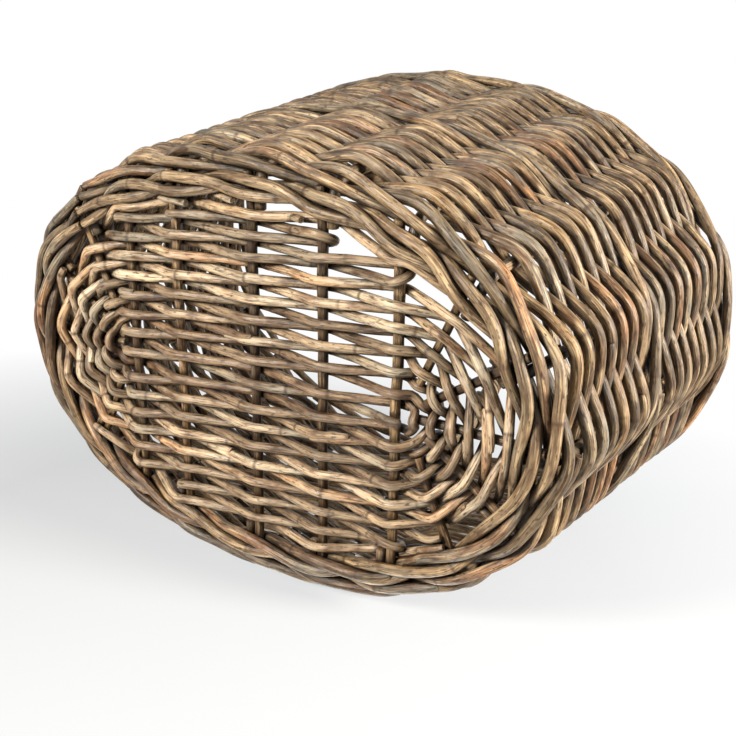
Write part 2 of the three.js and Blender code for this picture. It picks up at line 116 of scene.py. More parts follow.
# %% [markdown]
# ## The posts
# Each of the 20 places round the basket has a stick end in the base and a stake beside it, which bends
# up into the wall. Together they are called a post here. Weavers could be fitted to 20 drawn curves by
# eye. Here a post answers two questions instead, and every weaver is drawn from one to the next: where
# does a base row cross it, and where is its stake at a given length along it?

# %% The oval
def oval_ratio(point, oval):
    return (abs(point.x) / oval.a) ** OVAL_POWER + (abs(point.y) / oval.b) ** OVAL_POWER


def meet_oval(start, direction, oval, halvings=40):
    near, far = 0.0, BASE_LENGTH
    for _ in range(halvings):
        middle = (near + far) / 2
        if oval_ratio(start + direction * middle, oval) < 1:
            near = middle
        else:
            far = middle
    return start + direction * near


def oval_normal(point, oval):
    x = copysign((abs(point.x) / oval.a) ** (OVAL_POWER - 1) / oval.a, point.x)
    y = copysign((abs(point.y) / oval.b) ** (OVAL_POWER - 1) / oval.b, point.y)
    return Vector((x, y, 0)).normalized()


# %% Where a base row crosses a post
def row_point(post, row):
    across = SPINE_HALF + BASE_ROW_PITCH * (row - 0.5)
    if post.cross:
        number = post.place - FAN_POSTS if post.half == 0 else CROSS_STICKS - 1 - post.place + FAN_POSTS
        aside = ODD_STICK_SHARE if number == ODD_STICK else 0
        x = CROSS_END - (number + aside) * CROSS_STICK_SPACING
        return Vector((x, across * post.turn, 0))
    lengthwise = SPINE_HALF + END_ROW_PITCH * (row - 0.5)
    x = post.fan_x + lengthwise * cos(post.fan)
    return Vector((x, across * sin(post.fan), 0)) * post.turn


# %% Where a stake is, a length s along it, and which way is out and round there
def spoke_at(post, angle):
    return post.out * sin(angle) - post.rise * cos(angle)


def stake_at(post, s):
    if s <= 0:
        return post.start + post.out * s, DOWN, post.round
    if s >= post.arc:
        return post.corner + post.up * (post.lead + s - post.arc), post.face, post.wall_round
    angle = s / FOOT_BEND
    share = angle / post.turn_up
    spoke = spoke_at(post, angle)
    face = (spoke + post.twist * share).normalized()
    return post.centre + spoke * FOOT_BEND, face, post.round.lerp(post.wall_round, share).normalized()


def at_height(post, z):
    return post.arc - post.lead + (z - BASE_MID) / post.up.z


# %% A post
def make_post(index):
    post = SimpleNamespace(index=index, half=index // HALF_POSTS, place=index % HALF_POSTS)
    post.turn = 1 if post.half == 0 else -1
    post.cross = FAN_POSTS <= post.place < FAN_POSTS + CROSS_STICKS
    from_right = post.place * END_STICK_FAN
    from_left = pi - (HALF_POSTS - post.place) * END_STICK_FAN
    post.fan = from_right if post.place < FAN_POSTS else from_left
    post.fan_x = copysign(CROSS_END + SPINE_OVERHANG, cos(post.fan))
    post.stick_r = CROSS_R if post.cross else END_R
    post.from_row = 0 if post.cross else END_STICK_FROM_ROW[min(post.place, HALF_POSTS - post.place)]
    post.out = (row_point(post, 2) - row_point(post, 1)).normalized()
    post.round = Vector((-post.out.y, post.out.x, 0))
    post.tail_offset = post.stick_r + STAKE_R + CLEARANCE
    corner = meet_oval(row_point(post, 1) + post.round * post.tail_offset, post.out, FOOT)
    top = Vector((corner.x * RIM.a / FOOT.a, corner.y * RIM.b / FOOT.b, STAKE_TOP))
    corner.z = BASE_MID
    post.corner = corner
    post.up = (top - corner).normalized()
    face = oval_normal(corner, FOOT)
    post.face = (face - post.up * face.dot(post.up)).normalized()
    post.turn_up = acos(post.out.dot(post.up))
    post.lead = FOOT_BEND * tan(post.turn_up / 2)
    post.rise = (post.up - post.out * post.up.dot(post.out)).normalized()
    post.start = corner - post.out * post.lead
    post.centre = post.start + post.rise * FOOT_BEND
    post.arc = FOOT_BEND * post.turn_up
    post.wall_round = post.up.cross(post.face)
    post.twist = post.face - spoke_at(post, post.turn_up)
    stick_end = meet_oval(row_point(post, 1), post.out, FOOT) + post.out * (STICK_STUB - post.lead)
    post.stick_end = Vector((stick_end.x, stick_end.y, BASE_MID))
    return post


posts = [make_post(index) for index in range(POSTS)]
cross_posts = [post for post in posts if post.half == 0 and post.cross]


def post_at(index):
    return posts[index % POSTS]


print("first stake leaves the base at", [round(v / MM, 1) for v in posts[0].start])

# %% [markdown]
# ## From a route to a rod
# A weaver's route is a short list of turns: in front of this stake, behind the next. A real rod is stiff
# and rounds every turn off. Bezier handles could do that, but each would need its own length. So the
# route is blurred along its length, and the turns are pushed out again by as much as the blur pulled
# them in, so that the rod still clears each stake.

# %% A route: turns and which way the basket's outside is there
class Route:
    def __init__(self):
        self.points = []
        self.faces = []

    def add(self, point, face):
        self.points.append(Vector(point))
        self.faces.append(Vector(face))
        return self


# %% Blur a route as a stiff rod would lie
def spread(corners, counts):
    starts = np.repeat(corners[:-1], counts, axis=0)
    ends = np.repeat(corners[1:], counts, axis=0)
    share = np.concatenate([np.arange(count) / count for count in counts])[:, None]
    return np.vstack([starts + (ends - starts) * share, corners[-1:]])


def blur(samples, width, widths_out=3):
    reach = ceil(widths_out * width)
    kernel = np.exp(-0.5 * (np.arange(-reach, reach + 1) / width) ** 2)
    kernel /= kernel.sum()
    reach = min(reach, len(samples) - 1)
    before = 2 * samples[0] - samples[reach:0:-1]
    after = 2 * samples[-1] - samples[-2:-reach - 2:-1]
    kernel = kernel[len(kernel) // 2 - reach:len(kernel) // 2 + reach + 1]
    kernel = kernel / kernel.sum()
    padded = np.vstack([before, samples, after])
    return np.stack([np.convolve(padded[:, k], kernel, mode="valid") for k in range(3)], axis=1)


def relax(route, stiffness, grain=1.5 * MM, rounds=3):
    corners = np.array([tuple(p) for p in route.points])
    lengths = np.linalg.norm(np.diff(corners, axis=0), axis=1)
    counts = np.maximum(1, np.ceil(lengths / grain)).astype(int)
    at = np.concatenate([[0], np.cumsum(counts)])
    aim = corners.copy()
    for _ in range(rounds):
        path = blur(spread(aim, counts), stiffness / grain)
        aim += corners - path[at]
    path = blur(spread(aim, counts), stiffness / grain)
    faces = spread(np.array([tuple(f) for f in route.faces]), counts)
    return path, faces


# %% [markdown]
# No grown rod is quite straight or even. A displacement could roughen a smooth tube, but it would know
# nothing of the rod's length. So the thickness is worked out along the rod, before there is a tube: it
# changes slowly, swells a little at the rings where leaves grew, and ends in a small bevel.

# %% Slow wandering of a rod: a few waves with random starts
WAVES = (1.0, 1.7, 2.9)
WAVES_TOGETHER = 1.9  # about what they add up to


def wander(lengths, amount, wave):
    total = np.zeros(len(lengths))
    for k in WAVES:
        total += np.sin(2 * pi * k * lengths / wave + random.uniform(0, 2 * pi)) / k
    return total * amount / WAVES_TOGETHER


# %% Leaf rings, at uneven distances
RING_SPACINGS = (0.055, 0.12)
RING_UNEVENNESS = (0.6, 1.4)
RING_WIDTH = 1.5 * MM
RING_RISE = 0.055


def leaf_rings(at):
    rings = np.zeros(len(at))
    spacing = random.uniform(*RING_SPACINGS)
    place = random.uniform(0.2, 1.0) * spacing
    while place < at[-1]:
        rings = np.maximum(rings, np.exp(-((at - place) / RING_WIDTH) ** 2))
        place += spacing * random.uniform(*RING_UNEVENNESS)
    return rings


# %% Thickness and small wanderings along one rod
BEVEL = 0.5 * MM
BEVEL_SHARE = 0.86
TAPER_POWER = 0.7
GRAIN_APART = 2  # each rod takes its grain from another place, up to so many metres on


def unit(rows):
    return rows / np.maximum(np.linalg.norm(rows, axis=1), 1e-12)[:, None]


def lengths_along(path):
    return np.concatenate([[0], np.cumsum(np.linalg.norm(np.diff(path, axis=0), axis=1))])


def shape_rod(path, faces, radius, step, ends=(1.0, 1.0), taper=25 * MM, wobble=0.45 * MM,
              thinner_right=0.0):
    length = lengths_along(path)
    count = max(3, int(round(length[-1] / step)))
    cap = min(BEVEL, step / 3)
    at = np.sort(np.concatenate([np.linspace(0, length[-1], count + 1), [cap, length[-1] - cap]]))
    middle = np.stack([np.interp(at, length, path[:, k]) for k in range(3)], axis=1)
    outward = np.stack([np.interp(at, length, faces[:, k]) for k in range(3)], axis=1)
    ahead = unit(np.gradient(middle, axis=0))
    outward = unit(outward - ahead * np.sum(outward * ahead, axis=1)[:, None])
    across = np.cross(ahead, outward)
    middle = middle + outward * wander(at, wobble, wave=0.11)[:, None] \
        + across * wander(at, wobble, wave=0.09)[:, None]
    thick = radius * (1 + wander(at, amount=0.05, wave=0.35) + wander(at, amount=0.03, wave=0.05))
    thick = thick * (1 - thinner_right * middle[:, 0])
    rings = leaf_rings(at)
    thick = thick * (1 + RING_RISE * rings)
    for end, distance in ((ends[0], at), (ends[1], length[-1] - at)):
        thick = thick * (end + (1 - end) * np.clip(distance / taper, 0, 1) ** TAPER_POWER)
    thick[[0, -1]] *= BEVEL_SHARE
    return SimpleNamespace(middle=middle, thick=thick, at=at + random.uniform(0, GRAIN_APART), rings=rings)


# %% [markdown]
# A tube along a path can be a cylinder bent by a Curve modifier, a Skin modifier on a line, or a curve
# with a round bevel. The bevelled curve is used, because it takes its own thickness at every point. Once
# it is a mesh, each point gets its place in its own rod as an attribute. Grain on Object coordinates
# would cut straight through a bent rod, and this way it follows every bend.

# %% Draw rods as bevelled curves and turn them into one mesh
def draw_rods(name, rods, sides):
    curve = bpy.data.curves.new(name, "CURVE")
    curve.dimensions = "3D"
    curve.bevel_depth = 1.0
    curve.bevel_resolution = (sides - 4) // 2  # resolution n gives 2 n + 4 sides
    for rod in rods:
        spline = curve.splines.new("POLY")
        spline.points.add(len(rod.middle) - 1)
        spline.points.foreach_set("co", np.hstack([rod.middle, np.ones((len(rod.middle), 1))]).ravel())
        spline.points.foreach_set("radius", rod.thick)
    piece = bpy.data.objects.new(name, curve)
    bpy.context.collection.objects.link(piece)
    bpy.ops.object.select_all(action="DESELECT")
    piece.select_set(True)
    bpy.context.view_layer.objects.active = piece
    bpy.ops.object.convert(target="MESH")
    return bpy.context.object


# %% Give each point its place in its rod, for the grain, and close the ends
SHARP_FROM = radians(50)


def mark_grain(piece, rods, sides):
    angles = 2 * pi * np.arange(sides) / sides
    round_section = np.stack([np.cos(angles), np.sin(angles)], axis=1)
    places, tints = [], []
    for rod in rods:
        section = rod.thick[:, None, None] * round_section[None, :, :]
        along = np.repeat(rod.at[:, None, None], sides, axis=1)
        places.append(np.concatenate([along, section], axis=2).reshape(-1, 3))
        tint = np.tile(np.append(random.uniform(0, 1, 3), 0), (len(rod.at) * sides, 1))
        tint[:, 3] = np.repeat(rod.rings, sides)
        tints.append(tint)
    mesh = piece.data
    place = mesh.attributes.new("rod_place", "FLOAT_VECTOR", "POINT")
    place.data.foreach_set("vector", np.vstack(places).ravel())
    tint = mesh.attributes.new("rod_tint", "FLOAT_COLOR", "POINT")
    tint.data.foreach_set("color", np.vstack(tints).ravel())
    bpy.ops.object.mode_set(mode="EDIT")
    bpy.ops.mesh.select_all(action="SELECT")
    bpy.ops.mesh.fill_holes(sides=0)
    bpy.ops.object.mode_set(mode="OBJECT")
    bpy.ops.object.shade_smooth_by_angle(angle=SHARP_FROM)


# %% Make a piece of one or more rods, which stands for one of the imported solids
pieces = []


def make_rods(name, rods, sides, node):
    piece = draw_rods(name, rods, sides)
    mark_grain(piece, rods, sides)
    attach(piece, "root")
    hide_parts(node)
    pieces.append(piece)
    print(f"{name}: rods {len(rods)}, metres {sum(rod.at[-1] - rod.at[0] for rod in rods):.2f}")


# %% [markdown]
# ## A long weaver is several rods
# Rattan comes in lengths, so a weaver that goes round many times is several rods, each started beside
# the end of the last. One endless tube would be simpler, but each rod has its own thickness and tint,
# and that makes the wall lively.

# %% Cut a path into rods that overlap a little
JOIN_OVERLAP = 26 * MM
JOIN_SLIP = 1.9 * MM
SLIP_RUN = 1.5
SLIP_POWER = 1.5


def slipped(distance):
    return (JOIN_SLIP * np.clip(1 - distance / JOIN_OVERLAP / SLIP_RUN, 0, 1) ** SLIP_POWER)[:, None]


def cut_path(path, faces, lengths):
    along = lengths_along(path)
    cuts = [0.0]
    while cuts[-1] < along[-1]:
        cuts.append(cuts[-1] + random.uniform(*lengths))
    cuts[-1] = along[-1]
    if len(cuts) > 2 and cuts[-1] - cuts[-2] < lengths[0] / 2:
        del cuts[-2]
    stretches = []
    for k in range(len(cuts) - 1):
        low = max(0.0, cuts[k] - JOIN_OVERLAP / 2)
        high = min(along[-1], cuts[k + 1] + JOIN_OVERLAP / 2)
        inside = (along >= low) & (along <= high)
        part, face, here = path[inside].copy(), faces[inside], along[inside]
        ahead = unit(np.gradient(part, axis=0))
        across = np.cross(ahead, unit(face))
        if k > 0:
            part += across * slipped(here - low)
        if k < len(cuts) - 2:
            part -= across * slipped(high - here)
        stretches.append((part, face))
    return stretches


# %% Two ways to make a piece: woven from several rods, or one rod from end to end
OWN_THICKNESS = (0.93, 1.07)
WEAVER_ENDS = (0.75, 0.75)


def weave(node, routes, radius, stiffness, step, sides, lengths=(0.9, 1.5), **options):
    rods = []
    for route in routes:
        path, faces = relax(route, stiffness)
        for part, face in cut_path(path, faces, lengths):
            own = radius * random.uniform(*OWN_THICKNESS)
            rods.append(shape_rod(part, face, own, step, ends=WEAVER_ENDS, **options))
    make_rods(f"fine_{node}", rods, sides, node)


def single(node, route, radius, stiffness, step, sides, **options):
    path, faces = relax(route, stiffness)
    make_rods(f"fine_{node}", [shape_rod(path, faces, radius, step, **options)], sides, node)


# %% [markdown]
# ## The sticks of the base
# Five straight sticks cross the base, and five shorter ones fan out at each end of the oval. They are
# cut off square and their ends show in the ring of the foot. Plain cylinders would do but for those
# ends: they dip a little between the two wales, so each stick is a route with a bend.

# %% A stick's end
STUB_DIP = 2.2 * MM


def add_stub(route, post):
    route.add(post.stick_end - post.out * 2 * STICK_STUB, DOWN)
    return route.add(post.stick_end - Vector((0, 0, STUB_DIP)), DOWN)


# %% Cross sticks, each from the post across the spine
for number, post in enumerate(cross_posts, 1):
    route = add_stub(Route(), post_at(-post.index))
    route.points.reverse()
    add_stub(route, post)
    single(f"cross_stick_{number}", route, radius=CROSS_R, stiffness=5 * MM, step=3 * MM, sides=12)

# %% End sticks
STICK_TUCK = 0.6  # in rows: how far its inner end lies behind the first row that holds it

for number, post in enumerate([p for p in posts if not p.cross], 1):
    row = 1 + post.place / HALF_POSTS
    while row < post.from_row:
        row += 1
    inner = row_point(post, row - STICK_TUCK)
    inner.z = BASE_MID
    route = add_stub(Route().add(inner, DOWN), post)
    single(f"end_stick_{number}", route, radius=END_R, stiffness=4 * MM, step=3 * MM, sides=12)


# %% [markdown]
# ## The woven base
# Two weavers chase each other round the spine. A row passes over one stick and under the next, and the
# weaver that follows does the opposite. Each could be a stack of rings, but a real weaver climbs from
# row to row, so it is one spiral. Near the edge a row also passes the tail of the stake beside the stick.

# %% How a base row passes a post
STAKE_TAIL = 12 * MM
LEVEL_STEP = 0.25 * MM
LEVEL_ROOM = 1 * MM


def even_side(index):
    return 1 if index % 2 == 0 else -1


def level_half(gap, reach, need):
    """Half the length for which a rod has to stay level over a stick, so that it doesn't cut into it."""
    half = 0.0
    while half < gap / 2 - LEVEL_ROOM:
        slope = atan(2 * reach / (gap - 2 * half))
        if half * sin(slope) + reach * cos(slope) >= need:
            break
        half += LEVEL_STEP
    return half


def base_width(post, row):
    from_bend = (row_point(post, row) - post.start).dot(post.out)
    near_edge = from_bend > -STAKE_TAIL - BASE_ROD_R - CLEARANCE
    return post.tail_offset if near_edge else 0.0


def base_turns(post, row, way):
    width = base_width(post, row)
    gaps = []
    for step in (-1, 0):
        left, right = post_at(post.index + step), post_at(post.index + step + 1)
        gaps.append((row_point(left, row) - row_point(right, row)).length - base_width(left, row))
    need = max(post.stick_r, STAKE_R if width > 0 else 0) + BASE_ROD_R
    reach = need + CLEARANCE
    level = level_half(min(gaps), reach, need + CLEARANCE / 3)
    offsets = [-level, width + level] if level > 0 or width > 0 else [0.0]
    if way < 0:
        offsets.reverse()
    return offsets, reach, width if way > 0 else 0.0


def add_base_turns(route, post, row, offsets, depth):
    for offset in offsets:
        point = row_point(post, row) + post.round * offset
        point.z = BASE_MID - depth
        route.add(point, DOWN)


# %% The spine's two long rods
BASE_ROD = dict(radius=BASE_ROD_R * FULLNESS, stiffness=4 * MM, step=2.5 * MM, sides=12,
                thinner_right=0.5)
SPINE_TIP = 1.2
SPINE_TIP_DEPTH = 0.9

for number in range(SPINE_RODS):
    side = 1 if number == 0 else -1
    y = side * BASE_ROW_PITCH / 2
    reach = CROSS_R + BASE_ROD_R + CLEARANCE
    end_x = CROSS_END + SPINE_OVERHANG * SPINE_TIP
    route = Route().add((end_x, y, BASE_MID - side * reach * SPINE_TIP_DEPTH), DOWN)
    for k, post in enumerate(cross_posts):
        depth = side * even_side(k) * reach
        route.add((row_point(post, 1).x, y, BASE_MID - depth), DOWN)
    route.add((-end_x, y, BASE_MID - side * reach * SPINE_TIP_DEPTH), DOWN)
    single(f"long_rod_{number + 1}", route, **BASE_ROD)

# %% The two base weavers
START_TUCK = 3  # the posts that a weaver's start passes along the spine

for half in range(2):
    route = Route()
    for step in range(-START_TUCK, (BASE_ROWS - 1) * HALF_POSTS + 2):
        post = post_at(half * HALF_POSTS + step)
        row = 1 + step / HALF_POSTS
        if row < post.from_row:
            add_base_turns(route, post, row, [0], 0)
            continue
        side = even_side(post.index + half) if step >= 0 else -1
        offsets, reach, _ = base_turns(post, row, 1)
        add_base_turns(route, post, row, offsets, side * reach)
    weave(f"base_weaver_{half + 1}", [route], lengths=(0.55, 0.9), **BASE_ROD)

# %% [markdown]
# Outside the weavers a packing rod goes back and forth over the middle sticks and fills out the oval's
# belly. More full rounds can't do that, because they would make the ends longer too. Another rod follows
# the edge, and on one side three cut ends lie loose.

# %% A packing rod's route
PACKING_TURNS = [(2, 7), (7, 3), (3, 6), (6, 4)]  # from which place to which, one pair for each row
TURN_STEPS = 4


def packing_route(half):
    route = Route()
    for span, (start, stop) in enumerate(PACKING_TURNS):
        way = 1 if stop > start else -1
        for place in range(start, stop + way, way):
            post = post_at(place + half * HALF_POSTS)
            row = BASE_ROWS + place / HALF_POSTS + span
            side = even_side(BASE_ROWS - 1 + place + span + half)
            offsets, reach, far = base_turns(post, row, way)
            ends = place == stop and span < len(PACKING_TURNS) - 1
            if place == start and span > 0:
                offsets = offsets[1:]
            if ends:
                offsets = offsets[:-1]
            add_base_turns(route, post, row, offsets, side * reach)
            if not ends:
                continue
            for step in range(TURN_STEPS + 1):
                angle = pi * step / TURN_STEPS
                offset = far + way * reach * sin(angle)
                depth = side * reach * cos(angle)
                add_base_turns(route, post, row + step / TURN_STEPS, [offset], depth)
    return route


# %% The rod along the edge and the loose ends
EDGE_ROD_PLACES = range(2, 9)
EDGE_ROD_TO_BEND = 8 * MM
LOOSE_ENDS = [  # the post's place; how far aside of it and inside its bend the tip lies; the length
    (4, 8.5 * MM, 9.6 * MM, 31 * MM),
    (5, -15.7 * MM, 7.3 * MM, 21 * MM),
    (6, -17.2 * MM, 8.8 * MM, 16 * MM),
]


def edge_route(half):
    route = Route()
    for place in EDGE_ROD_PLACES:
        post = post_at(place + half * HALF_POSTS)
        row = BASE_ROWS + place / HALF_POSTS
        room = (post.start - row_point(post, row)).dot(post.out) - EDGE_ROD_TO_BEND
        spans = min(room / BASE_ROW_PITCH, len(PACKING_TURNS))
        side = even_side(BASE_ROWS - 1 + place + len(PACKING_TURNS) + half)
        offsets, reach, _ = base_turns(post, row + spans, 1)
        add_base_turns(route, post, row + spans, offsets, side * reach)
    return route


def loose_end(place, aside, inset, length):
    post = post_at(place + HALF_POSTS)
    tip = post.start - post.out * inset + post.round * aside
    reach = CROSS_R + BASE_ROD_R
    inner = tip - post.round * length
    middle = (tip + inner) / 2
    inner.z, middle.z, tip.z = BASE_MID + reach / 2, BASE_MID - reach / 4, BASE_MID - reach
    return Route().add(inner, DOWN).add(middle, DOWN).add(tip, DOWN)


# %% The packing rods
for half in range(2):
    routes = [packing_route(half), edge_route(half)]
    if half == 1:
        routes += [loose_end(*end) for end in LOOSE_ENDS]
    weave(f"packing_rod_{half + 1}", routes, lengths=(0.5, 0.8), **BASE_ROD)


# %% [markdown]
# ## The wall
# In the wall, too, two weavers chase each other, in front of one stake and behind the next. Their turns
# stand a rod's thickness off the stake. A straight line between two turns would cut the oval's corner,
# so a rod also bows outwards there.

# %% The hoop's legs go down beside the middle stakes, and the wall's rods make room for them
HANDLE_R = 5.5 * MM
MIDDLE_WALE_HEIGHT = 126 * MM
WALE_PITCH = 6.8 * MM
WALE_HALF = WALE_PITCH / 2 + WALE_R + CLEARANCE
LEG_OFFSET = -(STAKE_R + HANDLE_R + CLEARANCE)
LEG_PLACE = FAN_POSTS + (CROSS_STICKS - 1) // 2
LEG_BOTTOM = MIDDLE_WALE_HEIGHT + WALE_HALF
print("the legs end", round(LEG_BOTTOM / MM, 1), "mm above the floor")


# %% Turns beside a stake
def wall_point(post, s, depth, offset=0.0):
    point, face, around = stake_at(post, s)
    return point + face * depth + around * offset, face


def wall_reach(post, s, side, radius):
    near = STAKE_R + radius
    here, face = wall_point(post, s, side * (near + CLEARANCE))
    slope = 0.0
    for step in (-1, 1):
        there, _ = wall_point(post_at(post.index + step), s, -side * near)
        slope = max(slope, -side * (there - here).normalized().dot(face))
    return near / sqrt(1 - slope * slope) + CLEARANCE


def add_wall_turn(route, post, s, side, radius):
    if post.place == LEG_PLACE and s > at_height(post, LEG_BOTTOM - 2 * WALL_ROD_R):
        leg_reach = HANDLE_R + radius + 2 * CLEARANCE
        route.add(*wall_point(post, s, side * leg_reach, LEG_OFFSET - radius / 2))
    route.add(*wall_point(post, s, side * wall_reach(post, s, side, radius)))


# %% Between two posts a rod bows outwards, along the oval
def between(post, s, after, next_s, depth, next_depth):
    here, face = wall_point(post, s, depth)
    there, next_face = wall_point(after, next_s, next_depth)
    start, stop = stake_at(post, s)[0], stake_at(after, next_s)[0]
    middle = (start + stop) / 2
    level = (oval_ratio(start, RIM) + oval_ratio(stop, RIM)) / 2
    bow = (level / oval_ratio(middle, RIM)) ** (1 / OVAL_POWER) - 1
    return (here + there) / 2 + Vector((middle.x, middle.y, 0)) * bow, (face + next_face).normalized()


# %% [markdown]
# ## The wales
# A wale is a band of three rods, each behind one stake and in front of two. It holds the basket's shape
# at the foot, where the wall starts and half way up. A twisted rope looks like it, but doesn't take hold
# of the stakes. So each rod has its own route, one stake behind the rod before it.

# %% A wale's route
WALE_ROD = dict(radius=WALE_R * WALE_FULLNESS, stiffness=15 * MM, step=3 * MM, sides=14)
WALE_RODS = 3
WALE_SEAM = 12  # the post where the three rods start and end
WALE_BUTT = 1.2 * MM
WALE_FRONT, WALE_BACK = 1.0, 0.6
WALE_AT_POST = [(-1, 0), (1, 0.5), (1, -0.5)]  # in front or behind, and how high in the band
WALE_BETWEEN = [(0, 0.5), (1, 0), (0, -0.5)]


def wale_reach(post, s, side):
    return wall_reach(post, s, side, WALE_R)


def wale_route(number, at, parted, offsets_at, reach_at):
    route = Route()
    for step in range(POSTS + 1):
        phase = (step - number + WALE_RODS) % WALE_RODS
        post, after = post_at(WALE_SEAM + step), post_at(WALE_SEAM + step + 1)
        side, lift = WALE_AT_POST[phase]
        s = at(post) + lift * WALE_PITCH + parted
        offsets = list(offsets_at(post))
        middle = (offsets[0] + offsets[-1]) / 2
        if step == 0:
            offsets[0] = middle + WALE_BUTT
        if step == POSTS:
            offsets[-1] = middle - WALE_BUTT
        depth = (WALE_FRONT if side > 0 else -WALE_BACK) * reach_at(post, s, side)
        for offset in offsets:
            route.add(*wall_point(post, s, depth, offset))
        if step == POSTS:
            break
        depth, rise = WALE_BETWEEN[phase]
        depth *= WALE_REACH - CLEARANCE / 2
        rise *= WALE_PITCH
        route.add(*between(post, at(post) + rise, after, at(after) + rise, depth, depth))
    return route


def make_wale(name, at, lengths, parted=0.0, offsets_at=lambda post: [0.0], reach_at=wale_reach, **changes):
    for number in range(WALE_RODS):
        route = wale_route(number, at, parted, offsets_at, reach_at)
        weave(f"{name}_rod_{number + 1}", [route], lengths=lengths, **{**WALE_ROD, **changes})


# %% [markdown]
# The basket stands on the foot wale, which binds the stakes before they turn up. The upset wale lies
# close above. The two part a little at each post, and the stick's end shows between them.

# %% Foot wale
FOOT_WALE_AT = 1.6 * MM
FOOT_WALE_EASE = 0.7 * MM
STUB_ROOM = 1.3 * MM

make_wale("foot_wale", lambda post: FOOT_WALE_AT, (0.4, 0.6), -STUB_ROOM,
          offsets_at=lambda post: [-post.tail_offset - FOOT_WALE_EASE, FOOT_WALE_EASE],
          reach_at=lambda post, s, side: WALE_REACH)

# %% Upset wale
UPSET_WALE_AT = 12.6 * MM

make_wale("upset_wale", lambda post: UPSET_WALE_AT, (0.4, 0.6), STUB_ROOM)

# %% [markdown]
# ## The two panels
# Plain rows fill the wall below and above the middle wale. Rows of one set height would leave a gap
# under it, so their number comes from the room, which is then shared out evenly, as a maker beats the
# rows down until they fit.

# %% A panel of two weavers
WALL_ROD = dict(radius=WALL_ROD_R * FULLNESS, stiffness=9 * MM, step=3.5 * MM, sides=12)
WALL_ROW_PITCH = 7.6 * MM
WALE_TO_WALL = 9.2 * MM
WEAVER_TIP = 4 * MM


def wall_route(half, first_at, rows, pitch):
    route = Route()
    steps = (rows - 1) * HALF_POSTS
    for step in range(steps + 1):
        post = post_at(half * HALF_POSTS + step)
        s = first_at(post) + pitch * step / HALF_POSTS
        side = even_side(post.index + half)
        reach = side * wall_reach(post, s, side, WALL_ROD_R)
        if step == 0:
            route.add(*wall_point(post, s, reach, -WEAVER_TIP))
        add_wall_turn(route, post, s, side, WALL_ROD_R)
        if step == steps:
            route.add(*wall_point(post, s, reach, WEAVER_TIP))
            break
        after = post_at(post.index + 1)
        next_s = first_at(after) + pitch * (step + 1) / HALF_POSTS
        route.add(*between(post, s, after, next_s, 0, 0))
    return route


def make_panel(name, first_at, room):
    rows = round(room / WALL_ROW_PITCH) + 1
    pitch = room / (rows - 1)
    for half in range(2):
        weave(f"{name}_weaver_{half + 1}", [wall_route(half, first_at, rows, pitch)], **WALL_ROD)
    print(name, "panel:", rows, "rows, every", round(pitch / MM, 2), "mm")


# %% Lower panel
def middle_at(post):
    return at_height(post, MIDDLE_WALE_HEIGHT)


LOWER_AT = UPSET_WALE_AT + WALE_TO_WALL
lower_top = min(middle_at(post) for post in posts) - WALE_TO_WALL
make_panel("lower", lambda post: LOWER_AT, lower_top - LOWER_AT)

# %% Middle wale
make_wale("middle_wale", middle_at, (0.5, 0.8), step=3.5 * MM)

# %% Upper panel, as far up as the border leaves room
BORDER_FIRST_DROP = 12 * MM
BORDER_EASE = 1 * MM
BORDER_LAST_DROP = 8 * MM
BORDER_DROP = BORDER_FIRST_DROP + BORDER_EASE + BORDER_LAST_DROP + STAKE_R + CLEARANCE


def upper_at(post):
    return middle_at(post) + WALE_TO_WALL


upper_tops = [at_height(post, STAKE_TOP - BORDER_DROP) - WALL_ROD_R for post in posts]
make_panel("upper", upper_at, min(top - upper_at(post) for top, post in zip(upper_tops, posts)))


# %% [markdown]
# ## Stakes and border
# A stake starts as a tail beside its stick, bends up, runs up the wall and is bent over at the rim and
# woven along: behind one stake, in front of two and behind the next, where it is cut off. A braid laid
# on the rim would look much the same from outside, but here the twenty stakes make the border between
# them. The bend at the foot is tight and the border is stiff, so a stake is blurred twice, and one goes
# over into the other.

# %% A stake's route
BEND_STEPS = 4
BORDER_BEND = 5 * MM
BORDER_TIP = 9 * MM


def stake_route(post):
    route = Route()
    stops = [-STAKE_TAIL] + [post.arc * step / BEND_STEPS for step in range(BEND_STEPS + 1)]
    stops.append(at_height(post, STAKE_TOP) - BORDER_BEND)
    for s in stops:
        point, face, _ = stake_at(post, s)
        route.add(point, face)
    route.add(*wall_point(post, at_height(post, STAKE_TOP), 0, BORDER_BEND))
    corner = len(route.points) - 1
    height = STAKE_TOP - BORDER_FIRST_DROP
    passes = [(-1, 0), (1, BORDER_EASE), (1, BORDER_LAST_DROP), (-1, 0)]
    last, last_s, last_depth = post, at_height(post, height), 0
    for k, (side, drop) in enumerate(passes):
        after = post_at(post.index + k + 1)
        height -= drop
        s = at_height(after, height)
        depth = side * wall_reach(after, s, side, STAKE_R)
        if k > 0:
            route.add(*between(last, last_s, after, s, last_depth, depth))
        add_wall_turn(route, after, s, side, STAKE_R)
        last, last_s, last_depth = after, s, depth
    route.add(*wall_point(after, s, depth, BORDER_TIP))
    return route, corner


# %% The twenty stakes
STAKE_STIFFNESS = 3.5 * MM
BORDER_STIFFNESS = 9 * MM
BORDER_EASING = 25 * MM

for number, post in enumerate(posts, 1):
    route, corner = stake_route(post)
    path, faces = relax(route, STAKE_STIFFNESS)
    stiff, _ = relax(route, BORDER_STIFFNESS)
    along = lengths_along(path)
    bend = along[np.argmin(np.linalg.norm(path - np.array(route.points[corner]), axis=1))]
    share = np.clip((along - bend) / BORDER_EASING, 0, 1)[:, None]
    path += (stiff - path) * share
    rod = shape_rod(path, faces, STAKE_R * FULLNESS, step=3.5 * MM, ends=(1.0, 0.9))
    make_rods(f"fine_stake_{number:02d}", [rod], sides=12, node=f"stake_{number:02d}")

